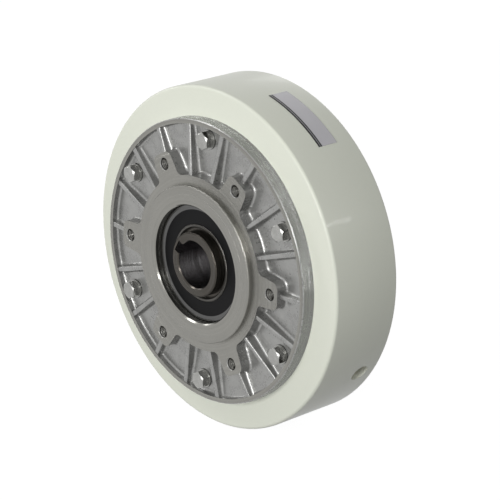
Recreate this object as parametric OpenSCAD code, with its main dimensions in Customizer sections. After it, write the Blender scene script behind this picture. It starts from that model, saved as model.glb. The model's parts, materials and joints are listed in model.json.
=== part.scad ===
// Hollow-shaft magnetic powder brake.
// The shaft lies along Y, the mounting end faces -Y and +Z is up.
// Each piece is drawn along its own Z, front end up, and laid over by at_end().

/* [Field body] */
// Outer diameter of the painted body
body_d = 219; // [206:1:240]
// Width of the painted body
body_w = 51; // [46:1:64]
// Rounding of the body's outer edges
body_edge = 2; // [0.5:0.25:4]
// Wall of the yoke outside the coil
shell_t = 11.5; // [8:0.5:14]
// Width of the coil chamber
slot_w = 34; // [26:1:38]
// Width of the non-magnetic ring between the poles
spacer_w = 12; // [8:1:18]
// Diameter of the lead outlet in the rim
lead_d = 12; // [6:0.5:14]
// Distance of the lead outlet behind the middle of the body
lead_back = 11; // [0:0.5:11]
// Clock angle of the lead outlet, seen from the front
lead_angle = -30; // [-180:1:180]

/* [Coil and powder] */
// Wall of the coil former
former_t = 1.5; // [1:0.1:2.5]
// Depth of the former left free above the winding
coil_low = 1.5; // [0.5:0.1:3]
// Radial working gap that the powder lies in
powder_gap = 1; // [0.8:0.05:1.6]
// Thickness of the powder layer
powder_t = 0.45; // [0.2:0.05:0.5]

/* [End covers] */
// Width of the painted face round a cover
cover_step = 19; // [15:0.5:22]
// Height of the cover's rim above the body
rim_h = 8.8; // [7:0.1:11]
// Width of the rim
rim_t = 3.1; // [2:0.1:4]
// Thickness of the floor between the ribs
floor_t = 4.8; // [4:0.1:6]
// Outer diameter of the hub face
hub_d = 112; // [108:1:118]
// Height of the hub face above the body
hub_h = 12.5; // [11:0.1:16]
// Diameter of the pilot ring
pilot_d = 100; // [92:1:104]
// Height of the pilot ring above the hub face
pilot_h = 3; // [2:0.1:5]
// How far the lip behind a bearing reaches over its outer ring
lip_over = 2.5; // [1.5:0.1:3.5]
// Depth of a bearing's face below the pilot ring
bearing_depth = 5.2; // [3.5:0.1:6.5]
// Chamfer round the mouth of a bearing's seat
mouth_edge = 0.8; // [0.4:0.1:1.2]
// Depth of the spigot that centres the cover in the pole bore
spigot_h = 3; // [2:0.1:4]
// Chamfer on the machined edges
machined_edge = 0.5; // [0.2:0.1:0.8]

/* [Ribs] */
// Thickness of a rib at its top
rib_t = 3; // [2:0.1:4]
// Draft of a rib's sides, in degrees
rib_draft = 5; // [2:0.5:8]
// Drop from the hub face to the inner end of a rib
rib_step = 1.2; // [0.4:0.1:2]
// Drop from the rim to the outer end of a rib
rib_drop = 0.4; // [0.2:0.1:1]

/* [Mounting pads] */
// Number of tapped pads, and of screws in each cover
pad_n = 6; // [4:1:6]
// Bolt circle of the tapped holes
mount_pcd = 130; // [124:1:138]
// Diameter of the tapping drill
tap_d = 6.8; // [6:0.1:6.9]
// Depth of the tapped holes
tap_depth = 10.5; // [8:0.5:10.5]
// Metal outside a tapped hole, at the end of a pad
pad_end = 6.8; // [6:0.1:10]
// Half width of a pad at its outer end
pad_half = 8.4; // [7:0.1:9]
// Half width of a pad at its root
root_half = 9.6; // [9:0.1:13.5]
// Corner radius of a pad
pad_corner = 4.6; // [1:0.1:5]
// Radius of the rounded trough between a pad and the next rib
trough_r = 4.6; // [2:0.1:5]

/* [Cover screws] */
// Thread diameter of the cover screws
thread_d = 6; // [5:0.5:8]
// Distance of a screw's centre inside the cover's edge
screw_in = 11.5; // [11.4:0.1:14]
// Length of a screw under its head
screw_len = 16; // [14:1:20]
// Width across flats of the hex head
head_af = 10; // [9:0.5:14]
// Height of the hex head
head_h = 4; // [3.5:0.1:6]
// Outer diameter of a flat washer
washer_d = 12; // [11:0.1:16]
// Thickness of a flat washer
washer_t = 1.6; // [1:0.1:2]
// Outer diameter of a spring washer
spring_d = 10.6; // [9.5:0.1:14.5]
// Thickness of a spring washer pressed flat
spring_t = 1.6; // [1:0.1:2.2]
// Depth of the spot face under a washer
spot_depth = 0.7; // [0.2:0.1:1.2]

/* [Bearings] */
// Bore of a bearing
bearing_id = 45; // [43:1:48]
// Outer diameter of a bearing
bearing_od = 75; // [70:1:80]
// Width of a bearing
bearing_w = 16; // [15:0.5:18]
// Number of balls in a bearing
ball_n = 12; // [8:1:12]
// Thickness of a bearing seal
bearing_seal_t = 0.8; // [0.6:0.1:1]
// Depth of a seal below the face of the outer ring
seal_in = 0.5; // [0.2:0.1:0.6]
// Share of the outer ring's face that the bevel round a seal takes
ring_bevel = 0.65; // [0.3:0.05:0.8]

/* [Shaft and rotor] */
// Bore of the hollow shaft
bore_d = 30; // [24:1:32]
// Width of the keyway
key_w = 8; // [6:0.5:10]
// Depth of the keyway beyond the bore
key_depth = 3.3; // [2:0.1:3.6]
// Clock angle of the keyway at rest, seen from the front
key_angle = 152; // [0:1:360]
// Height of the shaft shoulder behind a bearing
shoulder_h = 2; // [1.2:0.1:2.4]
// Diameter of the shaft's ends in front of the bearings
nose_d = 41; // [39:0.5:42]
// How far the bearing seats on the shaft stay behind a bearing's face
nose_in = 2.5; // [1:0.1:4]
// Chamfer on the shaft's ends
shaft_edge = 0.7; // [0.4:0.1:1.5]
// Width of the rotor drum
rotor_w = 38; // [30:1:40]
// Radial wall of the rotor drum
rotor_t = 11; // [7:0.5:11]
// Thread diameter of the rotor screws
rotor_screw_d = 6; // [5:0.5:6]
// Number of rotor screws
rotor_screw_n = 6; // [3:1:6]

/* [Powder seals] */
// Thickness of a seal plate and its felt ring
plate_t = 2; // [1:0.1:3]
// Radial width of a felt ring
felt_w = 3.7; // [2:0.1:5]
// Wall of the bearing boss round a seal plate
boss_wall = 3; // [2:0.1:4]

/* [Clearances] */
// Radial play where one piece seats in another
seat_gap = 0.02; // [0.01:0.01:0.05]
// Radial play between the coil former and the shell
former_gap = 0.3; // [0.2:0.05:0.5]
// Radial play of a screw in its clearance hole
hole_gap = 0.5; // [0.3:0.1:0.6]
// Play of the thread stand-in
thread_gap = 0.05; // [0.02:0.01:0.1]
// Play between a ball and its raceways
ball_gap = 0.2; // [0.1:0.05:0.3]
// Play of a ball in its cage
cage_gap = 0.15; // [0.1:0.05:0.3]
// Running gap of a seal on what turns inside it
lip_gap = 0.3; // [0.2:0.05:0.5]
// Axial room between the rotor and the seal plates
rotor_room = 2.7; // [1:0.1:3]
// Axial room between a bearing and its seal plate
bearing_room = 2; // [1:0.1:3]

/* [Hidden] */
$fn = 96;
// Overlap of joined solids, and how far a cutter runs past the face it cuts
tiny = 0.01;
over = 1;

// Heights above the middle of the body
body_z = body_w / 2;
floor_z = body_z + floor_t;
rim_z = body_z + rim_h;
hub_z = body_z + hub_h;
pilot_z = hub_z + pilot_h;
seat_z = floor_z - spot_depth;
bearing_face = pilot_z - bearing_depth;
bearing_mid = bearing_face - bearing_w / 2;
bearing_in = bearing_face - bearing_w;
plate_top = bearing_in - bearing_room;
boss_z = plate_top - plate_t;

// Radii of the covers and the field
body_r = body_d / 2;
cover_d = body_d - 2 * cover_step;
cover_r = cover_d / 2;
rim_r = cover_r - rim_t;
hub_r = hub_d / 2;
pilot_r = pilot_d / 2;
lip_d = bearing_od - 2 * lip_over;
lip_r = lip_d / 2;
thread_r = thread_d / 2;
screw_r = cover_r - screw_in;
thread_wall = 3;
bore_wall = 4;
slot_r = screw_r + thread_r + thread_wall;
shell_r = body_r - shell_t;
pole_r = screw_r - thread_r - bore_wall;
spigot_wall = 6;
thread_end = 2;

// Ribs: each pad has one behind it and two free ones beside it
ribs_per_pad = 3;
rib_n = ribs_per_pad * pad_n;
rib_pitch = 360 / rib_n;
rib_hub_z = hub_z - rib_step;
rib_rim_z = rim_z - rib_drop;
rib_sink = 1;
rib_grip = 1;
rib_foot = rib_t + 2 * (rib_hub_z - floor_z + rib_sink) * tan(rib_draft);

// Screws
screw_n = pad_n;
spot_gap = 0.3;
spot_r = washer_d / 2 + spot_gap;
spring_z = seat_z + washer_t;
head_z = spring_z + spring_t;
screw_tip = head_z - screw_len;
split_w = 1;
mount_r = mount_pcd / 2;
tap_chamfer = 0.7;
pad_core = 2;
trough_dip = 0.1;
corner_over = 0.02;

// Bearings: the balls and lands follow the section between bore and outer diameter
ball_share = 0.285;
inner_share = 0.65;
outer_share = 0.68;
run_share = 0.45;
cage_share = 0.45;
bearing_r = bearing_od / 2;
housing_r = bearing_r + seat_gap;
seat_r = bearing_id / 2;
pitch_r = (seat_r + bearing_r) / 2;
ball_d = ball_share * (bearing_od - bearing_id);
ball_r = ball_d / 2;
race_r = ball_r + ball_gap;
inner_land = inner_share * ball_r;
outer_land = outer_share * ball_r;
inner_land_r = pitch_r - inner_land;
outer_land_r = pitch_r + outer_land;
seal_run_r = seat_r + run_share * (inner_land_r - seat_r);
seal_lip_r = seal_run_r + lip_gap;
seal_grip = 1;
seal_groove_r = outer_land_r + seal_grip;
seal_z = bearing_w / 2 - seal_in - bearing_seal_t;
cage_back = 0.6;
cage_front = 2;
cage_half = cage_share * ball_r;
ring_edge = 0.6;
bevel_r = seal_groove_r + ring_bevel * (bearing_r - ring_edge - seal_groove_r);

// Shaft and rotor
shoulder_r = seat_r + shoulder_h;
rotor_r = pole_r - powder_gap;
rotor_head_h = rotor_screw_d;
web_half = boss_z - rotor_room - rotor_head_h;
head_ratio = 0.83;
head_room = 1;
rotor_head_r = rotor_screw_d * head_ratio;
rotor_screw_r = shoulder_r + rotor_head_r + head_room;
flange_r = rotor_screw_r + rotor_head_r + head_room;
socket_af = rotor_screw_d * head_ratio;

// Powder seals
felt_r = shoulder_r + lip_gap;
plate_in_r = felt_r + felt_w;
plate_grip = 5;
plate_r = bearing_r + plate_grip;
boss_r = plate_r + boss_wall;

cream = [0.88, 0.89, 0.83];
cast = [0.66, 0.66, 0.67];
zinc = [0.78, 0.78, 0.76];
steel = [0.55, 0.54, 0.52];
race = [0.74, 0.74, 0.73];
black = [0.09, 0.09, 0.10];

// Lay a piece over: front (1) towards -Y, rear (-1) mirrored to +Y
module at_end(side = 1) {
    rotate([90, 0, 0])
        mirror([0, 0, (1 - side) / 2])
            children();
}

// Copies round the axis
module ring_of(count, radius, from = 0) {
    for (i = [0 : count - 1])
        rotate(from + i * 360 / count)
            translate([radius, 0, 0])
                children();
}

module screw_places() {
    ring_of(screw_n, screw_r, 180 / screw_n)
        children();
}

module tube(outer, inner, low, high) {
    translate([0, 0, low])
        difference() {
            cylinder(r = outer, h = high - low);
            translate([0, 0, -tiny])
                cylinder(r = inner, h = high - low + 2 * tiny);
        }
}

// Field yoke: outer shell, front web and front pole turned from one ring
module field_section() {
    difference() {
        polygon([
            [pole_r, spacer_w / 2], [slot_r, spacer_w / 2], [slot_r, slot_w / 2],
            [shell_r, slot_w / 2], [shell_r, -body_z], [body_r, -body_z],
            [body_r, body_z], [pole_r, body_z]
        ]);
        for (side = [-1, 1])
            translate([body_r - body_edge, side * (body_z - body_edge)])
                difference() {
                    translate([0, side < 0 ? -2 * body_edge : 0])
                        square(2 * body_edge);
                    circle(r = body_edge);
                }
    }
}

module tapped_ring() {
    screw_places()
        translate([0, 0, screw_tip - thread_end])
            cylinder(r = thread_r + thread_gap, h = body_z);
}

module field_yoke() {
    color(cream)
        at_end()
            difference() {
                rotate_extrude()
                    field_section();
                tapped_ring();
                rotate(lead_angle)
                    translate([shell_r - over, 0, -lead_back])
                        rotate([0, 90, 0])
                            cylinder(d = lead_d, h = shell_t + 2 * over);
            }
}

// Rear pole and web, pressed into the shell after the coil
module yoke_end_ring() {
    color(cream)
        at_end(-1)
            difference() {
                rotate_extrude()
                    polygon([
                        [pole_r, spacer_w / 2], [slot_r, spacer_w / 2], [slot_r, slot_w / 2],
                        [shell_r - seat_gap, slot_w / 2], [shell_r - seat_gap, body_z],
                        [pole_r, body_z]
                    ]);
                tapped_ring();
            }
}

module spacer_ring() {
    color("goldenrod")
        at_end()
            tube(slot_r, pole_r, -spacer_w / 2, spacer_w / 2);
}

module coil_former() {
    color("ivory")
        at_end()
            rotate_extrude()
                difference() {
                    translate([slot_r + seat_gap, -slot_w / 2])
                        square([shell_r - slot_r - seat_gap - former_gap, slot_w]);
                    translate([slot_r + former_t, -slot_w / 2 + former_t])
                        square([shell_r, slot_w - 2 * former_t]);
                }
}

module coil() {
    color("peru")
        at_end()
            tube(
                shell_r - coil_low, slot_r + former_t + seat_gap,
                -slot_w / 2 + former_t, slot_w / 2 - former_t
            );
}

module powder_charge() {
    color("dimgray")
        at_end()
            tube(pole_r - seat_gap, pole_r - seat_gap - powder_t, -rotor_w / 2, rotor_w / 2);
}

// Turned form of a cover, from the bearing seat outwards and back along the inside
module cover_section() {
    polygon([
        [housing_r, bearing_in], [housing_r, pilot_z - mouth_edge], [housing_r + mouth_edge, pilot_z],
        [pilot_r - machined_edge, pilot_z], [pilot_r, pilot_z - machined_edge], [pilot_r, hub_z],
        [hub_r, hub_z], [hub_r, floor_z], [rim_r, floor_z], [rim_r, rim_z],
        [cover_r - machined_edge, rim_z], [cover_r, rim_z - machined_edge], [cover_r, body_z],
        [pole_r - seat_gap, body_z], [pole_r - seat_gap, body_z - spigot_h],
        [pole_r - spigot_wall, body_z - spigot_h], [pole_r - spigot_wall, body_z],
        [boss_r, body_z], [boss_r, boss_z], [plate_r + seat_gap, boss_z],
        [plate_r + seat_gap, plate_top], [lip_r, plate_top], [lip_r, bearing_in]
    ]);
}

// Top of a rib: a straight slope from the hub to the rim
function rib_top(r) =
    rib_hub_z + (rib_rim_z - rib_hub_z) * (r - hub_r) / (rim_r - hub_r);

// A drafted rib: its side view crossed with its section
module rib(inner, outer) {
    low = floor_z - rib_sink;
    intersection() {
        rotate([90, 0, 0])
            linear_extrude(rib_foot, center = true)
                polygon([
                    [inner, low], [outer, low], [outer, rib_rim_z],
                    [rim_r, rib_rim_z], [inner, rib_top(inner)]
                ]);
        translate([inner, 0, 0])
            rotate([90, 0, 90])
                linear_extrude(outer - inner)
                    polygon([
                        [-rib_foot / 2, low], [rib_foot / 2, low],
                        [rib_t / 2, rib_hub_z], [-rib_t / 2, rib_hub_z]
                    ]);
    }
}

// Centre of the arc that rounds the corner at b between a and c, and where it leaves each side
function unit(v) = v / norm(v);
function half_corner(a, b, c) = acos(unit(a - b) * unit(c - b)) / 2;
function corner_centre(a, b, c, radius) =
    b + unit(unit(a - b) + unit(c - b)) * radius / sin(half_corner(a, b, c));
function corner_start(a, b, c, radius) = b + unit(a - b) * radius / tan(half_corner(a, b, c));

// Outline of a tapped pad: its end has rounded corners, and a trough on each side leads into the hub
module pad_outline() {
    end_x = mount_r + pad_end;
    root_x = hub_r + trough_r;
    core_x = pilot_r - pad_core;
    trough_x = root_x - trough_dip;
    trough_at = asin((root_half + trough_r) / trough_x);
    left = [[root_x, root_half], [end_x, pad_half], [end_x, 0]];
    right = [[root_x, -root_half], [end_x, -pad_half], [end_x, 0]];
    polygon([
        [core_x, -root_half], right[0],
        corner_start(right[0], right[1], right[2], pad_corner),
        corner_start(right[2], right[1], right[0], pad_corner),
        corner_start(left[2], left[1], left[0], pad_corner),
        corner_start(left[0], left[1], left[2], pad_corner),
        left[0], [core_x, root_half]
    ]);
    for (side = [left, right])
        translate(corner_centre(side[0], side[1], side[2], pad_corner))
            circle(r = pad_corner + corner_over);
    for (side = [0, 1])
        rotate((2 * side - 1) * trough_at)
            difference() {
                translate([hub_r - over, -side * (trough_r + over)])
                    square([over + trough_r, trough_r + over]);
                translate([trough_x, 0])
                    circle(r = trough_r);
            }
}

module cover_ribs(pads) {
    for (i = [0 : rib_n - 1]) {
        behind_pad = pads && i % ribs_per_pad == 0;
        rotate(i * rib_pitch)
            rib(behind_pad ? mount_r + pad_end - rib_grip : hub_r - rib_grip, rim_r + rib_grip);
    }
}

module cover_pads() {
    for (i = [0 : pad_n - 1])
        rotate(i * 360 / pad_n)
            translate([0, 0, floor_z - rib_sink])
                linear_extrude(hub_z - floor_z + rib_sink)
                    pad_outline();
}

// Cast end cover; pads adds the tapped pads of the mounting end
module end_cover(pads) {
    difference() {
        union() {
            rotate_extrude()
                cover_section();
            cover_ribs(pads);
            if (pads)
                cover_pads();
        }
        screw_places() {
            translate([0, 0, body_z - tiny])
                cylinder(r = thread_r + hole_gap, h = floor_t + 2 * tiny);
            translate([0, 0, seat_z])
                cylinder(r = spot_r, h = head_h);
        }
        if (pads)
            ring_of(pad_n, mount_r) {
                translate([0, 0, hub_z - tap_depth])
                    cylinder(d = tap_d, h = tap_depth + tiny);
                translate([0, 0, hub_z - tap_chamfer])
                    cylinder(d1 = tap_d, d2 = tap_d + 2 * tap_chamfer + tiny, h = tap_chamfer + tiny);
            }
    }
}

module front_cover() {
    color(cast)
        at_end()
            end_cover(true);
}

module rear_cover() {
    color(cast)
        at_end(-1)
            end_cover(false);
}

// Hex head screw: prism with its corners turned off at 30 degrees
module hex_screw() {
    corner_r = head_af / 2 / cos(30);
    chamfer = (corner_r - head_af / 2) * tan(30);
    translate([0, 0, head_z])
        intersection() {
            cylinder(r = corner_r, h = head_h, $fn = 6);
            union() {
                cylinder(r = corner_r, h = head_h - chamfer);
                translate([0, 0, head_h - chamfer])
                    cylinder(r1 = corner_r, r2 = head_af / 2 - machined_edge / 4, h = chamfer);
            }
        }
    translate([0, 0, screw_tip])
        cylinder(r = thread_r, h = screw_len + tiny);
}

module cover_screws(side) {
    color(zinc)
        at_end(side)
            screw_places()
                hex_screw();
}

// Spring washers with their split
module spring_washers(side) {
    color(zinc)
        at_end(side)
            screw_places()
                difference() {
                    tube(spring_d / 2, thread_r + thread_gap, spring_z, head_z);
                    translate([0, -split_w / 2, spring_z - tiny])
                        cube([spring_d, split_w, spring_t + 2 * tiny]);
                }
}

module flat_washers(side) {
    color(zinc)
        at_end(side)
            screw_places()
                tube(washer_d / 2, thread_r + hole_gap / 2, seat_z, spring_z);
}

module front_screws() {
    cover_screws(1);
}

module front_spring_washers() {
    spring_washers(1);
}

module front_flat_washers() {
    flat_washers(1);
}

module rear_screws() {
    cover_screws(-1);
}

module rear_spring_washers() {
    spring_washers(-1);
}

module rear_flat_washers() {
    flat_washers(-1);
}

// Hollow shaft: two bearing seats, a shoulder between them and the rotor's flange
module hollow_shaft() {
    bore_r = bore_d / 2;
    nose_r = nose_d / 2;
    seat_end = bearing_face - nose_in;
    color(steel)
        at_end()
            difference() {
                rotate_extrude()
                    polygon([
                        [bore_r, -pilot_z + shaft_edge], [bore_r + shaft_edge, -pilot_z],
                        [nose_r - shaft_edge, -pilot_z], [nose_r, -pilot_z + shaft_edge],
                        [nose_r, -seat_end], [seat_r, -seat_end],
                        [seat_r, -bearing_in], [shoulder_r, -bearing_in],
                        [shoulder_r, -web_half - rotor_head_h], [flange_r, -web_half - rotor_head_h],
                        [flange_r, -web_half], [shoulder_r, -web_half], [shoulder_r, bearing_in],
                        [seat_r, bearing_in], [seat_r, seat_end], [nose_r, seat_end],
                        [nose_r, pilot_z - shaft_edge], [nose_r - shaft_edge, pilot_z],
                        [bore_r + shaft_edge, pilot_z], [bore_r, pilot_z - shaft_edge]
                    ]);
                rotate(key_angle)
                    translate([0, -key_w / 2, -pilot_z - over])
                        cube([bore_r + key_depth, key_w, 2 * (pilot_z + over)]);
                ring_of(rotor_screw_n, rotor_screw_r)
                    translate([0, 0, -web_half - rotor_head_h - over])
                        cylinder(d = rotor_screw_d + 2 * thread_gap, h = rotor_head_h + 2 * over);
            }
}

// Rotor: a steel drum in the powder gap on a flat web
module rotor_drum() {
    color(steel)
        at_end()
            difference() {
                union() {
                    tube(rotor_r, rotor_r - rotor_t, -rotor_w / 2, rotor_w / 2);
                    tube(rotor_r - tiny, shoulder_r + seat_gap, -web_half, web_half);
                }
                ring_of(rotor_screw_n, rotor_screw_r)
                    translate([0, 0, -web_half - over])
                        cylinder(d = rotor_screw_d + 2 * hole_gap, h = 2 * (web_half + over));
            }
}

// Socket screws that hold the rotor's web to the shaft's flange
module rotor_screws() {
    grip = 2 * web_half + rotor_head_h - head_room;
    color(zinc)
        at_end()
            ring_of(rotor_screw_n, rotor_screw_r)
                difference() {
                    union() {
                        translate([0, 0, web_half])
                            cylinder(r = rotor_head_r, h = rotor_head_h);
                        translate([0, 0, web_half - grip])
                            cylinder(d = rotor_screw_d, h = grip + tiny);
                    }
                    translate([0, 0, web_half + rotor_head_h / 2])
                        cylinder(r = socket_af / 2 / cos(30), h = rotor_head_h, $fn = 6);
                }
}

// Seal plate in the bearing boss, with a felt ring that wipes the shaft
module seal_plate(side) {
    color(steel)
        at_end(side)
            tube(plate_r, plate_in_r + seat_gap, boss_z, plate_top);
}

module felt_ring(side) {
    color("wheat")
        at_end(side)
            tube(plate_in_r, felt_r, boss_z, plate_top);
}

module front_seal_plate() {
    seal_plate(1);
}

module front_felt_ring() {
    felt_ring(1);
}

module rear_seal_plate() {
    seal_plate(-1);
}

module rear_felt_ring() {
    felt_ring(-1);
}

// Deep-groove bearing, drawn about its own middle
module at_bearing(side) {
    at_end(side)
        translate([0, 0, bearing_mid])
            children();
}

module outer_ring(side) {
    half = bearing_w / 2;
    color(race)
        at_bearing(side)
            rotate_extrude()
                difference() {
                    polygon([
                        [outer_land_r, -seal_z], [seal_groove_r, -seal_z],
                        [seal_groove_r, -half + seal_in], [bevel_r, -half],
                        [bearing_r - ring_edge, -half], [bearing_r, -half + ring_edge],
                        [bearing_r, half - ring_edge], [bearing_r - ring_edge, half],
                        [bevel_r, half], [seal_groove_r, half - seal_in],
                        [seal_groove_r, seal_z], [outer_land_r, seal_z]
                    ]);
                    translate([pitch_r, 0])
                        circle(r = race_r);
                }
}

module inner_ring(side) {
    half = bearing_w / 2;
    bore = seat_r + seat_gap;
    step = seal_z - lip_gap;
    color(race)
        at_bearing(side)
            rotate_extrude()
                difference() {
                    polygon([
                        [bore, -half + ring_edge], [bore + ring_edge, -half],
                        [seal_run_r - ring_edge / 2, -half], [seal_run_r, -half + ring_edge / 2],
                        [seal_run_r, -step], [inner_land_r, -step],
                        [inner_land_r, step], [seal_run_r, step],
                        [seal_run_r, half - ring_edge / 2], [seal_run_r - ring_edge / 2, half],
                        [bore + ring_edge, half], [bore, half - ring_edge]
                    ]);
                    translate([pitch_r, 0])
                        circle(r = race_r);
                }
}

module balls(side) {
    color("silver")
        at_bearing(side)
            ring_of(ball_n, pitch_r)
                sphere(r = ball_r);
}

// Crown cage: a ring with open pockets for the balls
module cage(side) {
    pocket_r = ball_r + cage_gap;
    color("tan")
        at_bearing(side)
            difference() {
                tube(pitch_r + cage_half, pitch_r - cage_half, -pocket_r - cage_back, cage_front);
                ring_of(ball_n, pitch_r)
                    sphere(r = pocket_r);
            }
}

// The two rubber seals of a bearing, held in the outer ring
module bearing_seals(side) {
    color(black)
        at_bearing(side)
            for (z = [-seal_z - bearing_seal_t, seal_z])
                tube(seal_groove_r - seat_gap, seal_lip_r, z, z + bearing_seal_t);
}

module front_outer_ring() {
    outer_ring(1);
}

module front_inner_ring() {
    inner_ring(1);
}

module front_balls() {
    balls(1);
}

module front_cage() {
    cage(1);
}

module front_bearing_seals() {
    bearing_seals(1);
}

module rear_outer_ring() {
    outer_ring(-1);
}

module rear_inner_ring() {
    inner_ring(-1);
}

module rear_balls() {
    balls(-1);
}

module rear_cage() {
    cage(-1);
}

module rear_bearing_seals() {
    bearing_seals(-1);
}

field_yoke();
yoke_end_ring();
spacer_ring();
coil_former();
coil();
powder_charge();
front_cover();
front_screws();
front_spring_washers();
front_flat_washers();
rear_cover();
rear_screws();
rear_spring_washers();
rear_flat_washers();
hollow_shaft();
rotor_drum();
rotor_screws();
front_seal_plate();
front_felt_ring();
rear_seal_plate();
rear_felt_ring();
front_outer_ring();
front_inner_ring();
front_balls();
front_cage();
front_bearing_seals();
rear_outer_ring();
rear_inner_ring();
rear_balls();
rear_cage();
rear_bearing_seals();
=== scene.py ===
"""Finishes and studio for a hollow-shaft powder brake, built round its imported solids."""

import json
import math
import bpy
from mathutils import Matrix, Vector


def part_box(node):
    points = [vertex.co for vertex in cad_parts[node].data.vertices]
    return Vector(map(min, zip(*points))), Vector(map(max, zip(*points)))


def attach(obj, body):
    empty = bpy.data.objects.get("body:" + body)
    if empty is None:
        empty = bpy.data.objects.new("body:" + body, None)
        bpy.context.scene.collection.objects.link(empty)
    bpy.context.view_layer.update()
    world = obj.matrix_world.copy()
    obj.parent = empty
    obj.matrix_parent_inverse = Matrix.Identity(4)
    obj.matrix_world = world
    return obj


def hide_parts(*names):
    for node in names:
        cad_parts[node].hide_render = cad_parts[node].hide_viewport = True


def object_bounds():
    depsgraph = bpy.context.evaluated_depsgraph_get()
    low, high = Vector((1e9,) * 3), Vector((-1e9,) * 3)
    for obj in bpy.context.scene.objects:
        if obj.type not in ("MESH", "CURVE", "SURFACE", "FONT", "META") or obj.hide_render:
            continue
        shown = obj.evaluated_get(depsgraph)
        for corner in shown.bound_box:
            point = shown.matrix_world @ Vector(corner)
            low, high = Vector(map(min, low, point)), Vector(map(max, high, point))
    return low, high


bl_info = {
    "name": "Powder brake finishes",
    "version": (1, 0, 0),
    "blender": (4, 5, 0),
    "location": "View3D > Sidebar > Powder brake",
    "description": "Cast covers, painted body, machined steel and a plain studio",
    "category": "Object",
}

import bmesh
import bpy
from bpy.props import FloatProperty, FloatVectorProperty, IntProperty, PointerProperty
from mathutils import Matrix, Vector

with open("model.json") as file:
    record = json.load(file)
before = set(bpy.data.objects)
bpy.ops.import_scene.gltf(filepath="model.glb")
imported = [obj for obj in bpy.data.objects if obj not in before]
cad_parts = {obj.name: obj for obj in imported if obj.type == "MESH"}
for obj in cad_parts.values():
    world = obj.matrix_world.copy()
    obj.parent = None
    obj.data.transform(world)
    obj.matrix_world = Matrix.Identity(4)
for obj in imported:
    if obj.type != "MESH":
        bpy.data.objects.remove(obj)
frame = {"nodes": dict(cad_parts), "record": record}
CAD_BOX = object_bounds()
MM = 0.001
AXIS = Vector((0, 1, 0))
FULL_TURN = 2 * math.pi

# Sizes that come from the frame
MOUNTS = {mount["name"]: mount for mount in frame["record"]["mounts"]}
BODY_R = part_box("field_yoke")[1].x
BODY_HALF = -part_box("field_yoke")[0].y
COVER_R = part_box("front_cover")[1].x
SHAFT_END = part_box("hollow_shaft")[1].y
BORE_R = MOUNTS["shaft_bore"]["dims"]["r_mm"] * MM
PILOT_R = MOUNTS["pilot"]["dims"]["r_mm"] * MM
HUB_Y = MOUNTS["mounting_face"]["pos_m"][1]
TAPPED_COUNT = MOUNTS["mount_holes"]["dims"]["count"]
TAPPED_R = MOUNTS["mount_holes"]["dims"]["hole_r_mm"] * MM
TAPPED_CIRCLE_R = MOUNTS["mount_holes"]["dims"]["pcd_mm"] / 2 * MM

# Sizes of the covers and the shaft that the frame doesn't name
HUB_R = PILOT_R + 6.3 * MM
RIM_T = 3.1 * MM
RIM_Y = 34.3 * MM
FLOOR_Y = 30.3 * MM
RIB_LOW, RIB_HIGH = FLOOR_Y + 1 * MM, abs(HUB_Y) - 0.5 * MM
OUTER_WALL_R = COVER_R - 0.7 * MM
TAPPED_WALL_R = TAPPED_R + 0.3 * MM
KEYWAY_DEPTH = 3.8 * MM
SHAFT_CHAMFER = 0.8 * MM

# How meshes are joined, cleaned and shaded
WELD = 0.002 * MM
SLIVER = 0.01 * MM
ON_LEVEL = 0.05 * MM
NEAR = 0.2 * MM
FLAT_ANGLE = math.radians(0.4)
SHARP_ANGLE = math.radians(35)
SMOOTH_ANGLE = math.radians(40)
HOLE_STEPS = 64

# Places of the materials on a cover and on the plate
CAST_SKIN, TURNED, TURNED_WALL, TAPPED_BORE_IN_SHADE = range(4)
FOIL, BLACK = range(2)

# Colour sockets of a Mix node
MIX_A, MIX_B, MIX_RESULT = 6, 7, 2

# Softboxes: direction from the brake, distance, and long and short side
SOFTBOXES = {
    "front": ((0.20, -0.93, 0.26), 2.2, (0.8, 0.8)),
    "strip": ((0.44, -0.87, 0.23), 1.7, (1.3, 0.09)),
    "side": ((0.815, 0.423, 0.395), 1.6, (0.75, 0.06)),
    "top": ((-0.62, -0.42, 0.66), 1.5, (0.32, 0.32)),
    "left": ((-0.93, -0.25, 0.27), 1.5, (0.3, 0.3)),
    "back": ((-0.45, 0.85, 0.28), 2.2, (1.1, 1.1)),
}
LONG_SIDE = Vector((0.887, 0, 0.462))
FLOOR_SIZE = 8
SENSOR_MM = 36


def colour(name, default, description):
    return FloatVectorProperty(
        name=name, description=description, default=default, subtype="COLOR", min=0, max=1, size=3
    )


def length(name, default, description):
    return FloatProperty(
        name=name, description=description, default=default,
        subtype="DISTANCE", unit="LENGTH", min=0,
    )


def angle(name, default, description):
    return FloatProperty(
        name=name, description=description, default=math.radians(default),
        subtype="ANGLE", unit="ROTATION",
    )


def share(name, default, description):
    return FloatProperty(
        name=name, description=description, default=default, subtype="FACTOR", min=0, max=1
    )


def power(name, default, description):
    return FloatProperty(name=name, description=description, default=default, unit="POWER", min=0)


def number(name, default, description, least):
    return IntProperty(name=name, description=description, default=default, min=least)


class BrakePaint(bpy.types.PropertyGroup):
    """Paint of the field body"""

    cream: colour("Cream", (0.79, 0.81, 0.71), "Colour of the paint")
    shade: colour("Shade", (0.74, 0.765, 0.665), "Colour of the paint where the film is thin")
    roughness: share("Roughness", 0.36, "Roughness of the paint film")
    spread: share("Spread", 0.05, "How far the film's roughness varies to either side")
    peel: length("Orange peel", 0.05 * MM, "Depth of the orange peel in the film")


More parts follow.
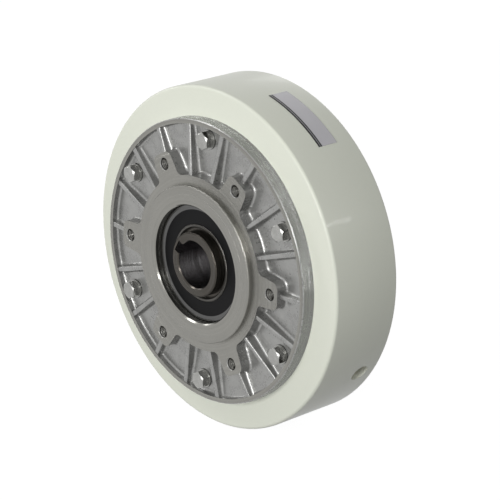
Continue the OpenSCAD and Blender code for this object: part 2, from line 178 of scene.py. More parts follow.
class BrakeBody(bpy.types.PropertyGroup):
    """Turned field body under the paint"""

    edge: length("Edge", 2 * MM, "Rounding of the body's outer edges")
    pole: length("Pole bore", 72 * MM, "Radius of the pole bore")
    slot: length("Slot floor", 85 * MM, "Radius of the coil chamber's floor")
    shell: length("Shell", 98 * MM, "Inner radius of the shell")
    slot_half: length("Slot half", 17 * MM, "Half the width of the coil chamber")
    pole_gap: length("Pole gap", 6 * MM, "Distance of the front pole from the middle")
    steps: number("Steps", 240, "Steps round the body", 48)


class BrakeCasting(bpy.types.PropertyGroup):
    """Cast end covers"""

    edge: length("Edge", 0.9 * MM, "Rounding along the tops of the ribs")
    foot: length("Foot", 1.7 * MM, "Rounding where ribs, pads, hub and rim stand on the floor")
    merge: length("Merge", 0.05 * MM, "Points closer than this join before the rounding")
    cast_light: colour("Cast, light", (0.41, 0.41, 0.397), "Light patches of the cast skin")
    cast_dark: colour("Cast, dark", (0.18, 0.18, 0.176), "Dark patches of the cast skin")
    turned: colour("Turned", (0.31, 0.305, 0.281), "Colour of the turned faces")
    turned_dark: colour("Turned, dark", (0.195, 0.192, 0.178), "Bottom of the turning marks")
    # Painted reflection: the outer wall is lighter and cooler than the turned faces and stands in
    # for the bright painted ring that it mirrors; its marks are real.
    wall: colour("Wall", (0.36, 0.365, 0.353), "Colour of the coarsely turned outer wall")
    wall_dark: colour("Wall, dark", (0.23, 0.234, 0.227), "Bottom of the outer wall's marks")
    # Painted shade: the tapped bores get dark colours, partly oil left in them and partly the shade
    # that falls inside the bores.
    tapped: colour("Tapped", (0.12, 0.118, 0.11), "Colour in the tapped bores")
    tapped_oil_and_shade: colour("Tapped, dark", (0.05, 0.049, 0.046), "Oil left in the tapped bores")


class BrakeScrew(bpy.types.PropertyGroup):
    """Heads of the cover screws"""

    circle: length("Circle", 79 * MM, "Radius of the circle that the cover screws stand on")
    count: number("Count", 6, "Screws in a cover", 1)
    crown: length("Crown", 4.6 * MM, "Radius of the round top of a head")
    slope: angle("Slope", 30, "Slope of the chamfer round the top")
    rim: length("Rim", 0.9 * MM, "Width of the rim round the dished top")
    dish: length("Dish", 0.3 * MM, "Depth of the dished top")


class BrakeSteel(bpy.types.PropertyGroup):
    """Screws, shaft and bearings"""

    zinc: colour("Zinc", (0.48, 0.48, 0.462), "Plating of the screws and washers")
    zinc_dark: colour("Zinc, dark", (0.22, 0.22, 0.21), "Stains in the plating")
    shaft: colour("Shaft", (0.084, 0.077, 0.068), "Turned steel of the shaft")
    shaft_dark: colour("Shaft, dark", (0.046, 0.042, 0.036), "Oil film on the shaft")
    # Painted light: the bore's colour is lighter than the shaft's steel and stands in for light
    # that reaches down into the bore.
    bore: colour("Bore", (0.2, 0.193, 0.195), "Honed bore of the shaft")
    ring: colour("Ring", (0.13, 0.13, 0.128), "Ground steel of the bearing rings")
    ring_dark: colour("Ring, dark", (0.075, 0.075, 0.074), "Grinding marks on the rings")
    # Painted shade: the inner rings, mixed with the shaft's dark oil colour, are partly a film of
    # oil and partly the shade in the bearing's recess.
    ring_oiled_and_shaded: colour("Ring, oiled", (0.13, 0.127, 0.12), "Inner rings under their film of oil")
    rubber: colour("Rubber", (0.004, 0.004, 0.0045), "Rubber of the bearing seals")
    rubber_dark: colour("Rubber, dark", (0.003, 0.003, 0.0035), "Dark patches of the seals")


class BrakeInside(bpy.types.PropertyGroup):
    """Pieces inside the body and the bearings"""

    cage: colour("Cage", (0.62, 0.50, 0.32), "Plastic of the ball cages")
    cage_dark: colour("Cage, dark", (0.54, 0.43, 0.27), "Dark patches of the cages")
    copper: colour("Copper", (0.55, 0.27, 0.13), "Winding of the coil")
    copper_dark: colour("Copper, dark", (0.42, 0.2, 0.09), "Dark patches of the winding")
    resin: colour("Resin", (0.8, 0.77, 0.68), "Plastic of the coil former")
    resin_dark: colour("Resin, dark", (0.74, 0.7, 0.6), "Dark patches of the former")
    brass: colour("Brass", (0.72, 0.56, 0.25), "Turned brass of the spacer ring")
    brass_dark: colour("Brass, dark", (0.62, 0.47, 0.2), "Turning marks in the brass")
    powder: colour("Powder", (0.17, 0.17, 0.17), "Iron powder in the gap")
    powder_dark: colour("Powder, dark", (0.1, 0.1, 0.1), "Shade between the grains")
    felt: colour("Felt", (0.75, 0.7, 0.58), "Wool of the felt rings")
    felt_dark: colour("Felt, dark", (0.6, 0.55, 0.44), "Shade between the fibres")


class BrakePlate(bpy.types.PropertyGroup):
    """Bare plate on the rim"""

    front: length("Front edge", 3.4 * MM, "Distance of the plate's front edge before the middle")
    back: length("Back edge", 11.2 * MM, "Distance of the plate's back edge behind the middle")
    low: angle("Low end", 51.8, "Clock angle of the plate's low end")
    high: angle("High end", 77.8, "Clock angle of the plate's high end")
    thick: length("Thickness", 0.25 * MM, "Thickness of the plate")
    band: length("Band", 2.6 * MM, "Width of the dark band along the front edge")
    line: length("Line", 0.35 * MM, "Width of the bright line along the middle of the band")
    steps: number("Steps", 40, "Steps along the plate", 8)
    foil: colour("Foil", (0.40, 0.395, 0.41), "Colour of the foil")
    foil_dark: colour("Foil, dark", (0.33, 0.325, 0.34), "Dark patches of the foil")
    black: colour("Black", (0.012, 0.012, 0.013), "Colour of the dark band")
    black_dark: colour("Black, dark", (0.007, 0.007, 0.008), "Dark patches of the band")


class BrakeThread(bpy.types.PropertyGroup):
    """Threads in the tapped pads"""

    pitch: length("Pitch", 1.25 * MM, "Pitch of the thread")
    ridge: length("Ridge", 0.42 * MM, "Height of a thread ridge")
    flank: share("Flank", 0.45, "Half the width of a ridge's foot as a share of the pitch")
    sunk: length("Sunk", 0.05 * MM, "Depth of a ridge's foot in the bore's wall")
    depth: length("Depth", 9 * MM, "Depth of the thread")
    steps: number("Steps", 20, "Steps in a turn of the thread", 8)


class BrakeStage(bpy.types.PropertyGroup):
    """Camera, floor and light"""

    azimuth: angle("Azimuth", 47.817, "Camera's turn to the right of the shaft's end")
    elevation: angle("Elevation", 19.699, "Camera's height above the shaft")
    clock: angle("Clock", 1.8, "Turn of the camera about the shaft")
    distance: length("Distance", 1.36396, "Distance of the camera from the brake's middle")
    lens: FloatProperty(
        name="Lens", description="Focal length of the camera", default=156.72, unit="CAMERA", min=10
    )
    shift: FloatProperty(name="Shift", description="Sideways shift of the lens", default=0.01348)
    ambient: share("Ambient", 0.25, "Level of the light from all round")
    front: power("Front light", 21.5, "Power of the softbox in front")
    strip: power("Strip light", 8, "Power of the long softbox in front")
    side: power("Side light", 1.8, "Power of the long softbox at the right")
    top: power("Top light", 3, "Power of the softbox high on the left")
    left: power("Left light", 1.5, "Power of the softbox at the left")
    back: power("Back light", 7, "Power of the softbox behind")
    floor_glow: share("Floor glow", 0.955, "Light that the floor shows to the camera by itself")
    floor_shade: share("Floor shade", 0.14, "Part of the floor's light that takes the shadow")


SETTINGS = {
    "brake_paint": BrakePaint,
    "brake_body": BrakeBody,
    "brake_casting": BrakeCasting,
    "brake_screw": BrakeScrew,
    "brake_steel": BrakeSteel,
    "brake_inside": BrakeInside,
    "brake_plate": BrakePlate,
    "brake_thread": BrakeThread,
    "brake_stage": BrakeStage,
}


def set_input(tree, socket, value):
    """Links a socket to another one, or gives it a value."""
    if isinstance(value, bpy.types.NodeSocket):
        tree.links.new(value, socket)
    else:
        socket.default_value = value


def add_node(tree, kind, **inputs):
    """A shader node with its inputs set by name."""
    node = tree.nodes.new(kind)
    for name, value in inputs.items():
        set_input(tree, node.inputs[name.replace("_", " ")], value)
    return node


def add_math(tree, operation, *values):
    """The result of a Math node whose inputs are set in order."""
    node = tree.nodes.new("ShaderNodeMath")
    node.operation = operation
    for socket, value in zip(node.inputs, values):
        set_input(tree, socket, value)
    return node.outputs[0]


def new_group(name, inputs, outputs):
    """An empty node group with float sockets, apart from the one named Vector."""
    tree = bpy.data.node_groups.new(name, "ShaderNodeTree")
    for label, default in inputs.items():
        kind = "NodeSocketVector" if label == "Vector" else "NodeSocketFloat"
        socket = tree.interface.new_socket(label, in_out="INPUT", socket_type=kind)
        if default is not None:
            socket.default_value = default
    for label in outputs:
        tree.interface.new_socket(label, in_out="OUTPUT", socket_type="NodeSocketFloat")
    source = tree.nodes.new("NodeGroupInput").outputs
    return tree, source, tree.nodes.new("NodeGroupOutput").inputs


def grain_group():
    """Fine grain and broad mottling of a skin: both outputs run from 0 to 1."""
    name = "skin grain"
    if name in bpy.data.node_groups:
        return bpy.data.node_groups[name]
    defaults = {"Vector": None, "Grain": 1500.0, "Patch": 60.0}
    tree, inputs, outputs = new_group(name, defaults, ["Mottle", "Height"])
    fine, broad = [
        add_node(
            tree, "ShaderNodeTexNoise", Vector=inputs["Vector"], Scale=inputs[label], Detail=detail
        ).outputs["Fac"]
        for label, detail in (("Grain", 3.0), ("Patch", 4.0))
    ]
    fine_share = 0.35
    fine_part = add_math(tree, "MULTIPLY", fine, fine_share)
    mottle = add_math(tree, "MULTIPLY_ADD", broad, 1 - fine_share, fine_part)
    tree.links.new(mottle, outputs["Mottle"])
    tree.links.new(fine, outputs["Height"])
    return tree


def marks_group():
    """Turning marks, as rings on a face and hoops on a wall, and the radius from the shaft."""
    name = "turning marks"
    if name in bpy.data.node_groups:
        return bpy.data.node_groups[name]
    defaults = {"Vector": None, "Marks": 4000.0}
    tree, inputs, outputs = new_group(name, defaults, ["Mark", "Band", "Radius"])
    parts = add_node(tree, "ShaderNodeSeparateXYZ", Vector=inputs["Vector"]).outputs
    square = add_math(tree, "MULTIPLY", parts["X"], parts["X"])
    square = add_math(tree, "MULTIPLY_ADD", parts["Z"], parts["Z"], square)
    radius = add_math(tree, "SQRT", square)
    tree.links.new(radius, outputs["Radius"])
    travel = add_math(tree, "ADD", radius, parts["Y"])
    for label, ratio, spread in (("Mark", 1.0, 4.0), ("Band", 0.12, 1.0)):
        noise = tree.nodes.new("ShaderNodeTexNoise")
        noise.noise_dimensions = "1D"
        tree.links.new(travel, noise.inputs["W"])
        scale = add_math(tree, "MULTIPLY", inputs["Marks"], ratio)
        tree.links.new(scale, noise.inputs["Scale"])
        low = 0.5 - 0.5 * spread
        wide = add_math(tree, "MULTIPLY_ADD", noise.outputs["Fac"], spread, low)
        tree.links.new(wide, outputs[label])
    return tree


def new_material(name, metallic):
    """A material, its tree, its shader and its object coordinates."""
    material = bpy.data.materials.new(name)
    material.use_nodes = True
    tree = material.node_tree
    shader = tree.nodes["Principled BSDF"]
    shader.inputs["Metallic"].default_value = metallic
    place = tree.nodes.new("ShaderNodeTexCoord").outputs["Object"]
    return material, tree, shader, place


def use_group(tree, group, place, **inputs):
    """The outputs of a node group placed in a material with its own values."""
    node = tree.nodes.new("ShaderNodeGroup")
    node.node_tree = group
    tree.links.new(place, node.inputs["Vector"])
    for label, value in inputs.items():
        node.inputs[label].default_value = value
    return node.outputs


def blend_colours(tree, shader, factor, dark, light):
    """Mixes two colours, of which the dark one may be an earlier mix, and returns the mix."""
    mix = tree.nodes.new("ShaderNodeMix")
    mix.data_type = "RGBA"
    tree.links.new(factor, mix.inputs["Factor"])
    earlier = isinstance(dark, bpy.types.NodeSocket)
    set_input(tree, mix.inputs[MIX_A], dark if earlier else (*dark, 1))
    set_input(tree, mix.inputs[MIX_B], (*light, 1))
    tree.links.new(mix.outputs[MIX_RESULT], shader.inputs["Base Color"])
    return mix.outputs[MIX_RESULT]


def vary_roughness(tree, shader, factor, low, high):
    spread = add_math(tree, "MULTIPLY_ADD", factor, high - low, low)
    tree.links.new(spread, shader.inputs["Roughness"])


def raise_height(tree, shader, height, distance):
    bump = add_node(tree, "ShaderNodeBump", Height=height, Distance=distance)
    tree.links.new(bump.outputs["Normal"], shader.inputs["Normal"])


def skin_material(
    name, light, dark, metallic, rough, depth, grain=1500.0, patch=60.0, coat=0.0, gloss=0.5
):
    """A finish with grain and mottling, such as a casting, a plating, rubber or paint."""
    material, tree, shader, place = new_material(name, metallic)
    skin = use_group(tree, grain_group(), place, Grain=grain, Patch=patch)
    blend_colours(tree, shader, skin["Mottle"], dark, light)
    vary_roughness(tree, shader, skin["Mottle"], *rough)
    raise_height(tree, shader, skin["Height"], depth)
    shader.inputs["Coat Weight"].default_value = coat
    shader.inputs["Specular IOR Level"].default_value = gloss
    return material


def turned_material(name, light, dark, rough, depth, marks=4000.0, bore=None):
    """Metal off the lathe, with grooves that draw light out, and a lighter colour inside a bore as
    painted light.
    """
    material, tree, shader, place = new_material(name, 1.0)
    cut = use_group(tree, marks_group(), place, Marks=marks)
    skin = use_group(tree, grain_group(), place, Grain=900.0, Patch=45.0)
    stains = add_math(tree, "MULTIPLY", skin["Mottle"], 0.5)
    tone = add_math(tree, "MULTIPLY_ADD", cut["Band"], 0.5, stains)
    metal = blend_colours(tree, shader, tone, dark, light)
    # Inside the bore and keyway the colour turns to the lighter bore colour, as painted light.
    if bore:
        along = add_node(tree, "ShaderNodeSeparateXYZ", Vector=place).outputs["Y"]
        along = add_math(tree, "ABSOLUTE", along)
        within = add_math(tree, "LESS_THAN", along, SHAFT_END - SHAFT_CHAMFER)
        inside = add_math(tree, "LESS_THAN", cut["Radius"], BORE_R + KEYWAY_DEPTH)
        blend_colours(tree, shader, add_math(tree, "MULTIPLY", within, inside), metal, bore)
    vary_roughness(tree, shader, tone, *rough)
    raise_height(tree, shader, cut["Mark"], depth)
    return material


def dress(node, material):
    """Gives a solid of the frame its finish."""
    slots = frame["nodes"][node].data.materials
    slots.clear()
    slots.append(material)


def new_piece(name, mesh, body, slot, *materials):
    piece = bpy.data.objects.new(name, mesh)
    bpy.context.scene.collection.objects.link(piece)
    for material in materials:
        mesh.materials.append(material)
    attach(piece, body)
    return piece


def join_flat(work):
    """Joins the faces that lie in one plane."""
    bmesh.ops.dissolve_limit(work, angle_limit=FLAT_ANGLE, verts=work.verts, edges=work.edges)


def close_up(work):
    """Welds a turned shape where it meets itself, and points its faces outwards."""
    bmesh.ops.remove_doubles(work, verts=work.verts, dist=WELD)
    bmesh.ops.recalc_face_normals(work, faces=work.faces)


def clear_slivers(work):
    """Cuts many-sided faces into triangles and takes out those without area."""
    bmesh.ops.triangulate(work, faces=[face for face in work.faces if len(face.verts) > 4])
    bmesh.ops.remove_doubles(work, verts=work.verts, dist=SLIVER)
    bmesh.ops.dissolve_degenerate(work, edges=work.edges, dist=SLIVER)


def merged_copy(node, merge=0):
    """The solid's mesh with its loose triangles joined into flat faces."""
    work = bmesh.new()
    work.from_mesh(frame["nodes"][node].data)
    bmesh.ops.remove_doubles(work, verts=work.verts, dist=WELD)
    join_flat(work)
    if merge:
        bmesh.ops.remove_doubles(work, verts=work.verts, dist=merge)
    return work


def turn_section(work, corners, centre, steps):
    """Spins a closed section once about a line through the centre, along the shaft."""
    ring = [work.verts.new(corner) for corner in corners]
    edges = [work.edges.new((ring[k - 1], ring[k])) for k in range(len(ring))]
    bmesh.ops.spin(
        work, geom=[*ring, *edges], cent=centre, axis=AXIS, angle=FULL_TURN, steps=steps,
        use_merge=True, use_duplicate=False,
    )


def sharp_edges(work):
    closed = [edge for edge in work.edges if edge.is_manifold]
    return [edge for edge in closed if edge.calc_face_angle() > SHARP_ANGLE]


def round_edges(work, edges, width, segments):
    bmesh.ops.bevel(
        work, geom=edges, offset=width, offset_type="OFFSET", affect="EDGES", segments=segments,
        profile=0.5, material=-1, clamp_overlap=False,
    )


def finish_mesh(work, name):
    """Writes a bmesh to a new mesh, smooth apart from its sharp edges."""
    for edge in work.edges:
        edge.smooth = not edge.is_manifold or edge.calc_face_angle() < SMOOTH_ANGLE
    for face in work.faces:
        face.smooth = True
    mesh = bpy.data.meshes.new(name)
    work.to_mesh(mesh)
    work.free()
    return mesh


def cut_mesh(blank, tool):
    """A bmesh of the blank without what the tool takes off, both given as meshes."""
    pieces = [bpy.data.objects.new(mesh.name, mesh) for mesh in (blank, tool)]
    for piece in pieces:
        bpy.context.scene.collection.objects.link(piece)
    cut = pieces[0].modifiers.new("Cut", "BOOLEAN")
    cut.operation = "DIFFERENCE"
    cut.object = pieces[1]
    result = pieces[0].evaluated_get(bpy.context.evaluated_depsgraph_get())
    work = bmesh.new()
    work.from_mesh(bpy.data.meshes.new_from_object(result))
    for piece in pieces:
        bpy.data.objects.remove(piece)
    return work


def middle(edge):
    return (edge.verts[0].co + edge.verts[1].co) / 2


def around(point):
    """Distance of a point from the shaft's axis."""
    return math.hypot(point.x, point.z)


def from_tapped_bore(point):
    """Distance of a point from the axis of the nearest tapped bore."""
    step = FULL_TURN / TAPPED_COUNT
    turn = round(math.atan2(point.z, point.x) / step) * step
    x, z = TAPPED_CIRCLE_R * math.cos(turn), TAPPED_CIRCLE_R * math.sin(turn)
    return math.hypot(point.x - x, point.z - z)


class BRAKE_OT_paint_body(bpy.types.Operator):
    """Paint the field body"""

    bl_idname = "brake.paint_body"
    bl_label = "Paint the body"

    def execute(self, context):
        paint = context.scene.brake_paint
        rough = (paint.roughness - paint.spread, paint.roughness + paint.spread)
        film = skin_material(
            "cream paint", paint.cream, paint.shade, metallic=0.0, rough=rough, depth=paint.peel,
            grain=420.0, patch=14.0, coat=0.1, gloss=0.35,
        )
        dress("yoke_end_ring", film)
        mesh = self.turn_body(context.scene.brake_body)
        piece = new_piece("painted_body", mesh, "stator", "body_paint", film)
        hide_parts("field_yoke")
        return {"FINISHED"}

    def turn_body(self, body):
        """The body's section spun round the shaft, with rounded edges and the lead hole."""
        section = [
            (body.pole, -body.pole_gap), (body.slot, -body.pole_gap),
            (body.slot, -body.slot_half), (body.shell, -body.slot_half),
            (body.shell, BODY_HALF), (BODY_R, BODY_HALF),
            (BODY_R, -BODY_HALF), (body.pole, -BODY_HALF),
        ]
        work = bmesh.new()
        turn_section(work, [(r, y, 0) for r, y in section], (0, 0, 0), body.steps)
        close_up(work)
        round_edges(work, [edge for edge in work.edges if self.is_rim(edge)], body.edge, segments=6)
        return self.bore_lead_hole(finish_mesh(work, "painted_body_blank"))

    def is_rim(self, edge):
        """Edges round the body's two outer rims."""
        place = middle(edge)
        return around(place) > BODY_R - NEAR and abs(place.y) > BODY_HALF - NEAR

    def bore_lead_hole(self, blank):
        outlet = MOUNTS["lead_outlet"]
        radius = outlet["dims"]["r_mm"] * MM
        turn = Vector(outlet["axis"]).to_track_quat("Z", "Y").to_matrix().to_4x4()
        drill = bmesh.new()
        bmesh.ops.create_cone(
            drill, cap_ends=True, segments=HOLE_STEPS, radius1=radius, radius2=radius,
            depth=2 * outlet["dims"]["length_mm"] * MM,
            matrix=Matrix.Translation(outlet["pos_m"]) @ turn,
        )
        return finish_mesh(cut_mesh(blank, finish_mesh(drill, "drill")), "painted_body")


class BRAKE_OT_cast_covers(bpy.types.Operator):
    """Round the edges of the cast covers and give them their skins"""

    bl_idname = "brake.cast_covers"
    bl_label = "Cast the covers"

    def execute(self, context):
        casting = context.scene.brake_casting
        cast = skin_material(
            "cast skin", casting.cast_light, casting.cast_dark,
            metallic=0.65, rough=(0.22, 0.34), depth=0.09 * MM, grain=800.0, patch=150.0,
        )
        turned = turned_material(
            "turned faces", casting.turned, casting.turned_dark,
            rough=(0.13, 0.19), depth=0.032 * MM,
        )
        # Outer walls: deep turning marks, and a lighter, cooler colour as painted reflection of the
        # bright painted ring.
        walls = turned_material(
            "turned walls", casting.wall, casting.wall_dark,
            rough=(0.14, 0.2), depth=0.35 * MM, marks=7000.0,
        )
        # Dark finish for the tapped bores: oil left in them and painted shade inside them.
        bores = turned_material(
            "tapped bores", casting.tapped, casting.tapped_oil_and_shade,
            rough=(0.2, 0.3), depth=0.01 * MM,
        )
        for end in ("front", "rear"):
            name = f"{end}_cover_casting"
            mesh = self.round_casting(casting, f"{end}_cover", name)
            piece = new_piece(name, mesh, "stator", "cast_aluminium", cast, turned, walls, bores)
            flat = piece.modifiers.new("Flat faces stay flat", "WEIGHTED_NORMAL")
            flat.keep_sharp = True
            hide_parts(f"{end}_cover")
        return {"FINISHED"}

    def round_casting(self, casting, node, name):
        """The cover with rounded feet and ribs, and a finish for each of its faces."""
        work = merged_copy(node, casting.merge)
        feet = [edge for edge in sharp_edges(work) if self.is_foot(edge)]
        round_edges(work, feet, casting.foot, segments=4)
        tops = [edge for edge in sharp_edges(work) if self.is_top(edge)]
        round_edges(work, tops, casting.edge, segments=3)
        clear_slivers(work)
        for face in work.faces:
            face.material_index = self.finish_of(face)
        return finish_mesh(work, name)

    def is_foot(self, edge):
        """Hollow edges along the floor between the hub and the rim."""
        level = all(abs(abs(vert.co.y) - FLOOR_Y) < ON_LEVEL for vert in edge.verts)
        return level and not edge.is_convex and around(middle(edge)) > PILOT_R

    def is_top(self, edge):
        """Edges along the top of a rib."""
        inside = HUB_R < around(middle(edge)) < COVER_R - RIM_T - NEAR
        low, high = sorted(abs(vert.co.y) for vert in edge.verts)
        return edge.is_convex and inside and low > RIB_LOW and high < RIB_HIGH

    def finish_of(self, face):
        """The place of the face's material among the cover's."""
        place = face.calc_center_median()
        flat = abs(face.normal.y) > 0.5
        hub = flat and abs(place.y) > abs(HUB_Y) - NEAR
        rim = flat and around(place) > COVER_R - RIM_T and abs(place.y) > RIM_Y - NEAR
        if around(place) > OUTER_WALL_R and not flat:
            return TURNED_WALL
        # Walls of the tapped bores take the dark finish, which paints in the shade inside them.
        if from_tapped_bore(place) < TAPPED_WALL_R and not flat:
            return TAPPED_BORE_IN_SHADE
        return TURNED if hub or rim or around(place) < PILOT_R + NEAR else CAST_SKIN


class BRAKE_OT_cut_threads(bpy.types.Operator):
    """Cut the threads of the tapped pads"""

    bl_idname = "brake.cut_threads"
    bl_label = "Cut the threads"

    def execute(self, context):
        thread = context.scene.brake_thread
        casting = context.scene.brake_casting
        turns = thread.depth / thread.pitch
        foot = TAPPED_R + thread.sunk
        ridge = [(foot, -thread.flank), (foot - thread.ridge, 0), (foot, thread.flank)]
        work = bmesh.new()
        for i in range(TAPPED_COUNT):
            turn = Matrix.Rotation(-FULL_TURN * i / TAPPED_COUNT, 3, AXIS)
            mouth = turn @ Vector((TAPPED_CIRCLE_R, HUB_Y + thread.pitch, 0))
            profile = [
                work.verts.new(mouth + Vector((r, part * thread.pitch, 0))) for r, part in ridge
            ]
            edges = [work.edges.new((profile[k], profile[(k + 1) % 3])) for k in range(3)]
            bmesh.ops.spin(
                work, geom=[*profile, *edges], cent=mouth, axis=AXIS,
                dvec=AXIS * thread.depth / (turns * thread.steps), angle=FULL_TURN * turns,
                steps=round(turns * thread.steps), use_duplicate=False,
            )
        ends = [edge for edge in work.edges if edge.is_boundary]
        bmesh.ops.holes_fill(work, edges=ends, sides=len(ridge))
        bmesh.ops.recalc_face_normals(work, faces=work.faces)
        # The thread ridges take the dark bore colours too, as painted shade inside the bores.
        cut = turned_material(
            "cut thread", casting.turned_dark, casting.tapped, rough=(0.2, 0.3), depth=0.002 * MM
        )
        mesh = finish_mesh(work, "pad_threads")
        new_piece("pad_threads", mesh, "stator", "cast_aluminium", cut)
        return {"FINISHED"}


class BRAKE_OT_plate_screws(bpy.types.Operator):
    """Chamfer the heads of the cover screws, and plate them and their washers"""

    bl_idname = "brake.plate_screws"
    bl_label = "Plate the screws"

    def execute(self, context):
        steel = context.scene.brake_steel
        zinc = skin_material(
            "zinc plating", steel.zinc, steel.zinc_dark,
            metallic=1.0, rough=(0.18, 0.34), depth=0.012 * MM, grain=1800.0, patch=240.0,
        )
        for end, away in (("front", -1), ("rear", 1)):
            mesh = self.chamfer_heads(context.scene.brake_screw, f"{end}_screws", away)
            piece = new_piece(f"{end}_hex_screws", mesh, "stator", "zinc_steel", zinc)
            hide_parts(f"{end}_screws")
            for group in ("spring_washers", "flat_washers", "seal_plate"):
                dress(f"{end}_{group}", zinc)
        dress("rotor_screws", zinc)
        return {"FINISHED"}

    def chamfer_heads(self, screw, node, away):
        """The screws with a cone turned off round the top of each head, and the top dished."""
        top = max((corner.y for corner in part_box(node)), key=abs)
        above = 0.5 * MM
        wide = 2 * screw.crown
        fall = math.tan(screw.slope)
        section = [
            (screw.crown - above / fall, above), (wide, above), (wide, (screw.crown - wide) * fall)
        ]
        cutter = bmesh.new()
        for i in range(screw.count):
            turn = Matrix.Rotation(-FULL_TURN * (i + 0.5) / screw.count, 3, AXIS)
            corners = [Vector((screw.circle + r, top + away * up, 0)) for r, up in section]
            centre = turn @ Vector((screw.circle, 0, 0))
            turn_section(cutter, [turn @ corner for corner in corners], centre, HOLE_STEPS)
        close_up(cutter)
        blank = finish_mesh(merged_copy(node), f"{node}_blank")
        work = cut_mesh(blank, finish_mesh(cutter, "chamfer"))
        join_flat(work)
        crowns = [
            face for face in work.faces if abs(face.calc_center_median().y - top) < SLIVER
        ]
        bmesh.ops.inset_individual(work, faces=crowns, thickness=screw.rim, depth=-screw.dish)
        clear_slivers(work)
        return finish_mesh(work, f"{node}_hex")


class BRAKE_OT_turn_shaft(bpy.types.Operator):
    """Give the shaft and the rotor their turned finish"""

    bl_idname = "brake.turn_shaft"
    bl_label = "Turn the shaft"

    def execute(self, context):
        steel = context.scene.brake_steel
        # Inside the bore the steel takes the lighter bore colour, as painted light.
        turned = turned_material(
            "shaft steel", steel.shaft, steel.shaft_dark,
            rough=(0.18, 0.26), depth=0.04 * MM, bore=steel.bore,
        )
        dress("hollow_shaft", turned)
        dress("rotor_drum", turned)
        return {"FINISHED"}


class BRAKE_OT_grind_bearings(bpy.types.Operator):
    """Give the bearings their ground rings, rubber seals and cages"""

    bl_idname = "brake.grind_bearings"
    bl_label = "Grind the bearings"

    def execute(self, context):
        steel = context.scene.brake_steel
        inside = context.scene.brake_inside
        ground = turned_material(
            "ground steel", steel.ring, steel.ring_dark,
            rough=(0.12, 0.17), depth=0.006 * MM, marks=9000.0,
        )
        # Inner rings: a film of oil and painted shade in the bearing's recess.
        oiled_and_shaded = turned_material(
            "oiled steel", steel.ring_oiled_and_shaded, steel.shaft_dark,
            rough=(0.16, 0.26), depth=0.03 * MM, marks=7000.0,
        )
        rubber = skin_material(
            "seal rubber", steel.rubber, steel.rubber_dark,
            metallic=0.0, rough=(0.38, 0.5), depth=0.01 * MM, grain=2200.0, patch=150.0, gloss=0.1,
        )
        nylon = skin_material(
            "cage plastic", inside.cage, inside.cage_dark,
            metallic=0.0, rough=(0.4, 0.5), depth=0.01 * MM,
        )
        for end in ("front", "rear"):
            for group, material in (
                ("outer_ring", ground), ("balls", ground), ("inner_ring", oiled_and_shaded),
                ("bearing_seals", rubber), ("cage", nylon),
            ):
                dress(f"{end}_{group}", material)
        return {"FINISHED"}


class BRAKE_OT_dress_inside(bpy.types.Operator):
    """Give the pieces inside the body their finishes"""

    bl_idname = "brake.dress_inside"
    bl_label = "Dress the inside"

    def execute(self, context):
        inside = context.scene.brake_inside
        copper = skin_material(
            "coil copper", inside.copper, inside.copper_dark,
            metallic=1.0, rough=(0.28, 0.4), depth=0.03 * MM,
        )
        resin = skin_material(
            "former plastic", inside.resin, inside.resin_dark,
            metallic=0.0, rough=(0.4, 0.55), depth=0.01 * MM,
        )
        brass = turned_material(
            "spacer brass", inside.brass, inside.brass_dark,
            rough=(0.25, 0.35), depth=0.004 * MM,
        )
        powder = skin_material(
            "iron powder", inside.powder, inside.powder_dark,
            metallic=0.3, rough=(0.7, 0.85), depth=0.1 * MM,
        )
        felt = skin_material(
            "wool felt", inside.felt, inside.felt_dark,
            metallic=0.0, rough=(0.85, 0.95), depth=0.15 * MM,
        )
        for node, material in (
            ("coil", copper), ("coil_former", resin), ("spacer_ring", brass),
            ("powder_charge", powder), ("front_felt_ring", felt), ("rear_felt_ring", felt),
        ):
            dress(node, material)
        return {"FINISHED"}


class BRAKE_OT_fix_plate(bpy.types.Operator):
    """Fix the bare plate to the rim"""

    bl_idname = "brake.fix_plate"
    bl_label = "Fix the plate"

    def execute(self, context):
        plate = context.scene.brake_plate
        foil = skin_material(
            "plate foil", plate.foil, plate.foil_dark,
            metallic=0.75, rough=(0.34, 0.42), depth=0.004 * MM, grain=2600.0, patch=120.0,
        )
        black = skin_material(
            "plate band", plate.black, plate.black_dark,
            metallic=0.0, rough=(0.4, 0.5), depth=0.004 * MM, gloss=0.15,
        )
        new_piece("rim_plate", self.bend_plate(plate), "stator", "zinc_steel", foil, black)
        return {"FINISHED"}

    def bend_plate(self, plate):
        """The plate's section, with a bright line along its dark band, spun along the rim."""
        centre = -plate.front + plate.band / 2
        stations = [
            -plate.front, centre - plate.line / 2, centre + plate.line / 2,
            -plate.front + plate.band, plate.back,
        ]
        work = bmesh.new()
        start = Matrix.Rotation(-plate.low, 3, AXIS)
        under, over = [
            [work.verts.new(start @ Vector((BODY_R + height, y, 0))) for y in stations]
            for height in (0, plate.thick)
        ]
        section = []
        for k, skin in enumerate((BLACK, FOIL, BLACK, FOIL)):
            face = work.faces.new((under[k], under[k + 1], over[k + 1], over[k]))
            face.material_index = skin
            section.append(face)
        bmesh.ops.spin(
            work, geom=section, cent=(0, 0, 0), axis=-AXIS, angle=plate.high - plate.low,
            steps=plate.steps, use_duplicate=False,
        )
        bmesh.ops.recalc_face_normals(work, faces=work.faces)
        return finish_mesh(work, "rim_plate")


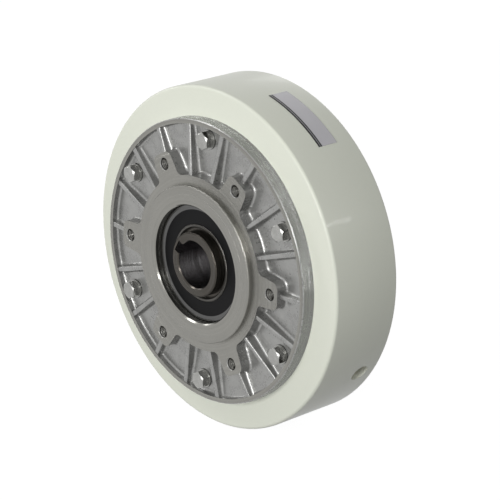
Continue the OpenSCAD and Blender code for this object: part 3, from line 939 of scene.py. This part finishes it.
class BRAKE_OT_set_stage(bpy.types.Operator):
    """Set up the floor, the light and the camera"""

    bl_idname = "brake.set_stage"
    bl_label = "Set the stage"

    def execute(self, context):
        scene = context.scene
        stage = scene.brake_stage
        scene.view_settings.view_transform = "Standard"
        self.make_world(scene, stage)
        self.make_floor(scene, stage)
        for name, (direction, distance, sides) in SOFTBOXES.items():
            lamp = bpy.data.lights.new(f"{name} softbox", "AREA")
            lamp.shape = "RECTANGLE"
            lamp.size, lamp.size_y = sides
            lamp.energy = getattr(stage, name)
            away = Vector(direction).normalized()
            across = away.cross(LONG_SIDE).normalized()
            self.set_up(scene, stage, lamp, (across.cross(away), across, away), distance)
        self.make_camera(scene, stage)
        return {"FINISHED"}

    def seen_directly(self, tree):
        """1 for what the camera, a mirror or a glass sees, and 0 for light on the object."""
        rays = tree.nodes.new("ShaderNodeLightPath").outputs
        seen = add_math(tree, "MAXIMUM", rays["Is Camera Ray"], rays["Is Glossy Ray"])
        return add_math(tree, "MAXIMUM", seen, rays["Is Transmission Ray"])

    def make_world(self, scene, stage):
        world = bpy.data.worlds.new("white studio")
        world.use_nodes = True
        tree = world.node_tree
        sky = tree.nodes["Background"]
        sky.inputs["Color"].default_value = (1, 1, 1, 1)
        seen = self.seen_directly(tree)
        level = add_math(tree, "MULTIPLY_ADD", seen, 1 - stage.ambient, stage.ambient)
        tree.links.new(level, sky.inputs["Strength"])
        scene.world = world

    def make_floor(self, scene, stage):
        work = bmesh.new()
        bmesh.ops.create_grid(work, x_segments=1, y_segments=1, size=FLOOR_SIZE)
        bmesh.ops.translate(work, verts=work.verts, vec=(0, 0, CAD_BOX[0].z))
        mesh = finish_mesh(work, "studio_floor")
        floor = bpy.data.objects.new("studio_floor", mesh)
        scene.collection.objects.link(floor)
        material = bpy.data.materials.new("studio floor")
        material.use_nodes = True
        tree = material.node_tree
        tree.nodes.remove(tree.nodes["Principled BSDF"])
        shade = add_node(tree, "ShaderNodeBsdfDiffuse", Color=(*[stage.floor_shade] * 3, 1))
        strength = add_math(tree, "MULTIPLY", self.seen_directly(tree), stage.floor_glow)
        glow = add_node(tree, "ShaderNodeEmission", Strength=strength)
        both = tree.nodes.new("ShaderNodeAddShader")
        tree.links.new(shade.outputs[0], both.inputs[0])
        tree.links.new(glow.outputs[0], both.inputs[1])
        tree.links.new(both.outputs[0], tree.nodes["Material Output"].inputs["Surface"])
        mesh.materials.append(material)

    def make_camera(self, scene, stage):
        lens = bpy.data.cameras.new("camera")
        lens.sensor_width = SENSOR_MM
        lens.lens = stage.lens
        lens.shift_x = stage.shift
        right = Vector((math.cos(stage.azimuth), math.sin(stage.azimuth), 0))
        level = math.cos(stage.elevation)
        back = Vector((right.y * level, -right.x * level, math.sin(stage.elevation)))
        axes = (right, back.cross(right), back)
        scene.camera = self.set_up(scene, stage, lens, axes, stage.distance)

    def set_up(self, scene, stage, data, axes, distance):
        """Places a lamp or a camera that looks at the middle along its third axis."""
        thing = bpy.data.objects.new(data.name, data)
        scene.collection.objects.link(thing)
        turned = Matrix.Rotation(-stage.clock, 3, AXIS) @ Matrix(axes).transposed()
        thing.matrix_world = Matrix.Translation(turned.col[2] * distance) @ turned.to_4x4()
        return thing


STEPS = (
    BRAKE_OT_set_stage,
    BRAKE_OT_paint_body,
    BRAKE_OT_cast_covers,
    BRAKE_OT_cut_threads,
    BRAKE_OT_plate_screws,
    BRAKE_OT_turn_shaft,
    BRAKE_OT_grind_bearings,
    BRAKE_OT_dress_inside,
    BRAKE_OT_fix_plate,
)


class BRAKE_PT_panel(bpy.types.Panel):
    """Steps and settings of the powder brake"""

    bl_idname = "BRAKE_PT_panel"
    bl_label = "Powder brake"
    bl_space_type = "VIEW_3D"
    bl_region_type = "UI"
    bl_category = "Powder brake"

    def draw(self, context):
        for step in STEPS:
            self.layout.operator(step.bl_idname)
        for name, group in SETTINGS.items():
            box = self.layout.box()
            for field in group.__annotations__:
                box.prop(getattr(context.scene, name), field)


def register():
    for name, group in SETTINGS.items():
        bpy.utils.register_class(group)
        setattr(bpy.types.Scene, name, PointerProperty(type=group))
    for step in STEPS:
        bpy.utils.register_class(step)
    bpy.utils.register_class(BRAKE_PT_panel)


def unregister():
    bpy.utils.unregister_class(BRAKE_PT_panel)
    for step in reversed(STEPS):
        bpy.utils.unregister_class(step)
    for name, group in SETTINGS.items():
        delattr(bpy.types.Scene, name)
        bpy.utils.unregister_class(group)


def main():
    register()
    for step in STEPS:
        family, action = step.bl_idname.split(".")
        getattr(getattr(bpy.ops, family), action)()


if __name__ == "__main__":
    main()
